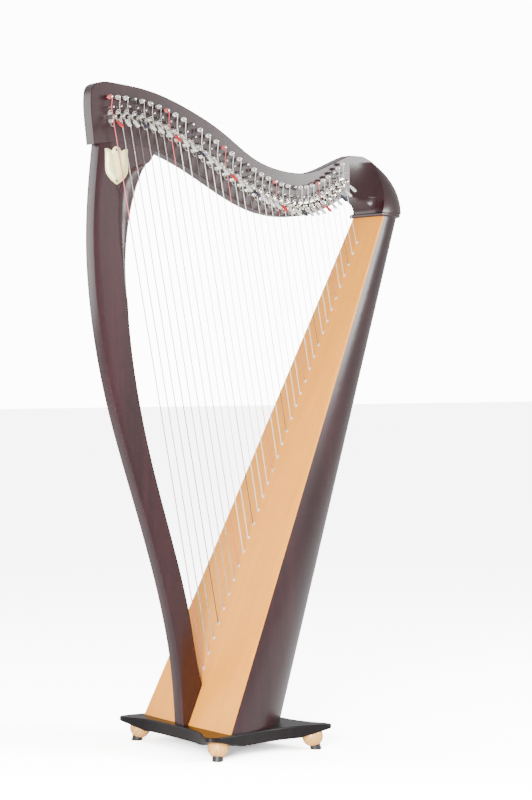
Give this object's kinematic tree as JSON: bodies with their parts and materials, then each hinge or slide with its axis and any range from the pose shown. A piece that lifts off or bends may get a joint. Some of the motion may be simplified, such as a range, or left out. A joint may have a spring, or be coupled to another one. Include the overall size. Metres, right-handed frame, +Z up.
{
  "type": "lever harp",
  "caption": "Floor-standing lever harp: bowed pillar, S-curved neck, slanted soundboard with strings, hand levers that flip to raise each string's pitch, and a base plate on ball feet.",
  "frame": {"origin": "on the floor, under the middle of the whole harp's bounding box", "axes": "+Z up, -X towards the pillar, -Y the side that carries the strings' pins and levers"},
  "size_m": [0.8112, 0.3724, 1.4241],
  "materials": {
    "dark_wood": "satin",
    "black_wood": "satin",
    "maple": "satin",
    "spruce": "satin",
    "rubber": "matte",
    "steel": "satin",
    "nickel": "polished",
    "clear_string": "gloss",
    "red_string": "gloss",
    "black_string": "gloss",
    "white_plastic": "gloss",
    "brass": "polished",
    "red_grip": "gloss",
    "dark_grip": "gloss",
    "pale_grip": "gloss"
  },
  "bodies": {
    "harp_frame": {"base_plate": "black_wood", "ball_feet": "maple", "rubber_tips": "rubber", "foot_screws": "steel", "soundboard": "spruce", "string_rib": "maple", "soundbox_back": "dark_wood", "edge_linings": "spruce", "back_ribs": "spruce", "end_blocks": "maple", "pillar_bolt": "steel", "collar": "dark_wood", "shoulder": "dark_wood", "neck": "dark_wood", "pillar": "dark_wood", "joint_dowels": "maple", "tuning_pins": "nickel", "bridge_pins": "nickel", "strings_natural": "clear_string", "strings_red": "red_string", "strings_black": "black_string", "eyelets": "white_plastic", "badge": "brass", "lever_brackets": "nickel", "lever_pivots": "steel", "lever_screws": "steel"},
    "lever_01_body": {"lever_01": "red_grip"},
    "lever_02_body": {"lever_02": "pale_grip"},
    "lever_03_body": {"lever_03": "pale_grip"},
    "lever_04_body": {"lever_04": "dark_grip"},
    "lever_05_body": {"lever_05": "pale_grip"},
    "lever_06_body": {"lever_06": "pale_grip"},
    "lever_07_body": {"lever_07": "pale_grip"},
    "lever_08_body": {"lever_08": "red_grip"},
    "lever_09_body": {"lever_09": "pale_grip"},
    "lever_10_body": {"lever_10": "pale_grip"},
    "lever_11_body": {"lever_11": "dark_grip"},
    "lever_12_body": {"lever_12": "pale_grip"},
    "lever_13_body": {"lever_13": "pale_grip"},
    "lever_14_body": {"lever_14": "pale_grip"},
    "lever_15_body": {"lever_15": "red_grip"},
    "lever_16_body": {"lever_16": "pale_grip"},
    "lever_17_body": {"lever_17": "pale_grip"},
    "lever_18_body": {"lever_18": "dark_grip"},
    "lever_19_body": {"lever_19": "pale_grip"},
    "lever_20_body": {"lever_20": "pale_grip"},
    "lever_21_body": {"lever_21": "pale_grip"},
    "lever_22_body": {"lever_22": "red_grip"},
    "lever_23_body": {"lever_23": "pale_grip"},
    "lever_24_body": {"lever_24": "pale_grip"},
    "lever_25_body": {"lever_25": "dark_grip"},
    "lever_26_body": {"lever_26": "pale_grip"},
    "lever_27_body": {"lever_27": "pale_grip"},
    "lever_28_body": {"lever_28": "pale_grip"},
    "lever_29_body": {"lever_29": "red_grip"},
    "lever_30_body": {"lever_30": "pale_grip"},
    "lever_31_body": {"lever_31": "pale_grip"},
    "lever_32_body": {"lever_32": "dark_grip"},
    "lever_33_body": {"lever_33": "pale_grip"},
    "lever_34_body": {"lever_34": "pale_grip"}
  },
  "joints": [
    {"name": "lever_01_flip", "type": "hinge", "parent": "harp_frame", "child": "lever_01_body", "pos_m": [-0.35933, -0.01276, 1.34939], "axis": [-0.9815, 0, -0.1914], "range_deg": [0, 95]},
    {"name": "lever_02_flip", "type": "hinge", "parent": "harp_frame", "child": "lever_02_body", "pos_m": [-0.3397, -0.01276, 1.35183], "axis": [-0.9816, 0, -0.191], "range_deg": [0, 95]},
    {"name": "lever_03_flip", "type": "hinge", "parent": "harp_frame", "child": "lever_03_body", "pos_m": [-0.31966, -0.01276, 1.35219], "axis": [-0.9817, 0, -0.1905], "range_deg": [0, 95]},
    {"name": "lever_04_flip", "type": "hinge", "parent": "harp_frame", "child": "lever_04_body", "pos_m": [-0.2993, -0.01275, 1.35057], "axis": [-0.9818, 0, -0.1899], "range_deg": [0, 95]},
    {"name": "lever_05_flip", "type": "hinge", "parent": "harp_frame", "child": "lever_05_body", "pos_m": [-0.27872, -0.01275, 1.34711], "axis": [-0.9819, 0, -0.1893], "range_deg": [0, 95]},
    {"name": "lever_06_flip", "type": "hinge", "parent": "harp_frame", "child": "lever_06_body", "pos_m": [-0.25797, -0.01274, 1.34198], "axis": [-0.982, 0, -0.1888], "range_deg": [0, 95]},
    {"name": "lever_07_flip", "type": "hinge", "parent": "harp_frame", "child": "lever_07_body", "pos_m": [-0.23713, -0.01273, 1.33534], "axis": [-0.9821, 0, -0.1883], "range_deg": [0, 95]},
    {"name": "lever_08_flip", "type": "hinge", "parent": "harp_frame", "child": "lever_08_body", "pos_m": [-0.21624, -0.01273, 1.32737], "axis": [-0.9822, 0, -0.1879], "range_deg": [0, 95]},
    {"name": "lever_09_flip", "type": "hinge", "parent": "harp_frame", "child": "lever_09_body", "pos_m": [-0.19536, -0.01272, 1.31828], "axis": [-0.9822, 0, -0.1876], "range_deg": [0, 95]},
    {"name": "lever_10_flip", "type": "hinge", "parent": "harp_frame", "child": "lever_10_body", "pos_m": [-0.17453, -0.01271, 1.30825], "axis": [-0.9823, 0, -0.1875], "range_deg": [0, 95]},
    {"name": "lever_11_flip", "type": "hinge", "parent": "harp_frame", "child": "lever_11_body", "pos_m": [-0.15378, -0.0127, 1.29749], "axis": [-0.9823, 0, -0.1874], "range_deg": [0, 95]},
    {"name": "lever_12_flip", "type": "hinge", "parent": "harp_frame", "child": "lever_12_body", "pos_m": [-0.13314, -0.01269, 1.28622], "axis": [-0.9823, 0, -0.1876], "range_deg": [0, 95]},
    {"name": "lever_13_flip", "type": "hinge", "parent": "harp_frame", "child": "lever_13_body", "pos_m": [-0.11263, -0.01268, 1.27463], "axis": [-0.9822, 0, -0.1878], "range_deg": [0, 95]},
    {"name": "lever_14_flip", "type": "hinge", "parent": "harp_frame", "child": "lever_14_body", "pos_m": [-0.09228, -0.01267, 1.26295], "axis": [-0.9821, 0, -0.1883], "range_deg": [0, 95]},
    {"name": "lever_15_flip", "type": "hinge", "parent": "harp_frame", "child": "lever_15_body", "pos_m": [-0.07209, -0.01265, 1.25138], "axis": [-0.982, 0, -0.1889], "range_deg": [0, 95]},
    {"name": "lever_16_flip", "type": "hinge", "parent": "harp_frame", "child": "lever_16_body", "pos_m": [-0.05209, -0.01264, 1.24012], "axis": [-0.9819, 0, -0.1896], "range_deg": [0, 95]},
    {"name": "lever_17_flip", "type": "hinge", "parent": "harp_frame", "child": "lever_17_body", "pos_m": [-0.0323, -0.01262, 1.22937], "axis": [-0.9817, 0, -0.1904], "range_deg": [0, 95]},
    {"name": "lever_18_flip", "type": "hinge", "parent": "harp_frame", "child": "lever_18_body", "pos_m": [-0.01271, -0.0126, 1.21932], "axis": [-0.9815, 0, -0.1914], "range_deg": [0, 95]},
    {"name": "lever_19_flip", "type": "hinge", "parent": "harp_frame", "child": "lever_19_body", "pos_m": [0.00664, -0.01258, 1.21014], "axis": [-0.9813, 0, -0.1924], "range_deg": [0, 95]},
    {"name": "lever_20_flip", "type": "hinge", "parent": "harp_frame", "child": "lever_20_body", "pos_m": [0.02575, -0.01256, 1.202], "axis": [-0.9811, 0, -0.1935], "range_deg": [0, 95]},
    {"name": "lever_21_flip", "type": "hinge", "parent": "harp_frame", "child": "lever_21_body", "pos_m": [0.0446, -0.01253, 1.19505], "axis": [-0.9809, 0, -0.1947], "range_deg": [0, 95]},
    {"name": "lever_22_flip", "type": "hinge", "parent": "harp_frame", "child": "lever_22_body", "pos_m": [0.06316, -0.0125, 1.18941], "axis": [-0.9806, 0, -0.1958], "range_deg": [0, 95]},
    {"name": "lever_23_flip", "type": "hinge", "parent": "harp_frame", "child": "lever_23_body", "pos_m": [0.08141, -0.01247, 1.18521], "axis": [-0.9804, 0, -0.197], "range_deg": [0, 95]},
    {"name": "lever_24_flip", "type": "hinge", "parent": "harp_frame", "child": "lever_24_body", "pos_m": [0.09933, -0.01244, 1.18253], "axis": [-0.9802, 0, -0.1982], "range_deg": [0, 95]},
    {"name": "lever_25_flip", "type": "hinge", "parent": "harp_frame", "child": "lever_25_body", "pos_m": [0.11688, -0.0124, 1.18144], "axis": [-0.9799, 0, -0.1995], "range_deg": [0, 95]},
    {"name": "lever_26_flip", "type": "hinge", "parent": "harp_frame", "child": "lever_26_body", "pos_m": [0.13402, -0.01235, 1.18199], "axis": [-0.9796, 0, -0.201], "range_deg": [0, 95]},
    {"name": "lever_27_flip", "type": "hinge", "parent": "harp_frame", "child": "lever_27_body", "pos_m": [0.1507, -0.0123, 1.18419], "axis": [-0.9792, 0, -0.2027], "range_deg": [0, 95]},
    {"name": "lever_28_flip", "type": "hinge", "parent": "harp_frame", "child": "lever_28_body", "pos_m": [0.16688, -0.01225, 1.18803], "axis": [-0.9788, 0, -0.205], "range_deg": [0, 95]},
    {"name": "lever_29_flip", "type": "hinge", "parent": "harp_frame", "child": "lever_29_body", "pos_m": [0.1825, -0.0122, 1.19347], "axis": [-0.9781, 0, -0.2083], "range_deg": [0, 95]},
    {"name": "lever_30_flip", "type": "hinge", "parent": "harp_frame", "child": "lever_30_body", "pos_m": [0.1975, -0.01214, 1.20044], "axis": [-0.977, 0, -0.2131], "range_deg": [0, 95]},
    {"name": "lever_31_flip", "type": "hinge", "parent": "harp_frame", "child": "lever_31_body", "pos_m": [0.21181, -0.01207, 1.20881], "axis": [-0.9754, 0, -0.2203], "range_deg": [0, 95]},
    {"name": "lever_32_flip", "type": "hinge", "parent": "harp_frame", "child": "lever_32_body", "pos_m": [0.22535, -0.012, 1.21846], "axis": [-0.973, 0, -0.2309], "range_deg": [0, 95]},
    {"name": "lever_33_flip", "type": "hinge", "parent": "harp_frame", "child": "lever_33_body", "pos_m": [0.23805, -0.01193, 1.22919], "axis": [-0.9691, 0, -0.2465], "range_deg": [0, 95]},
    {"name": "lever_34_flip", "type": "hinge", "parent": "harp_frame", "child": "lever_34_body", "pos_m": [0.24982, -0.01185, 1.2408], "axis": [-0.9632, 0, -0.2689], "range_deg": [0, 95]}
  ]
}
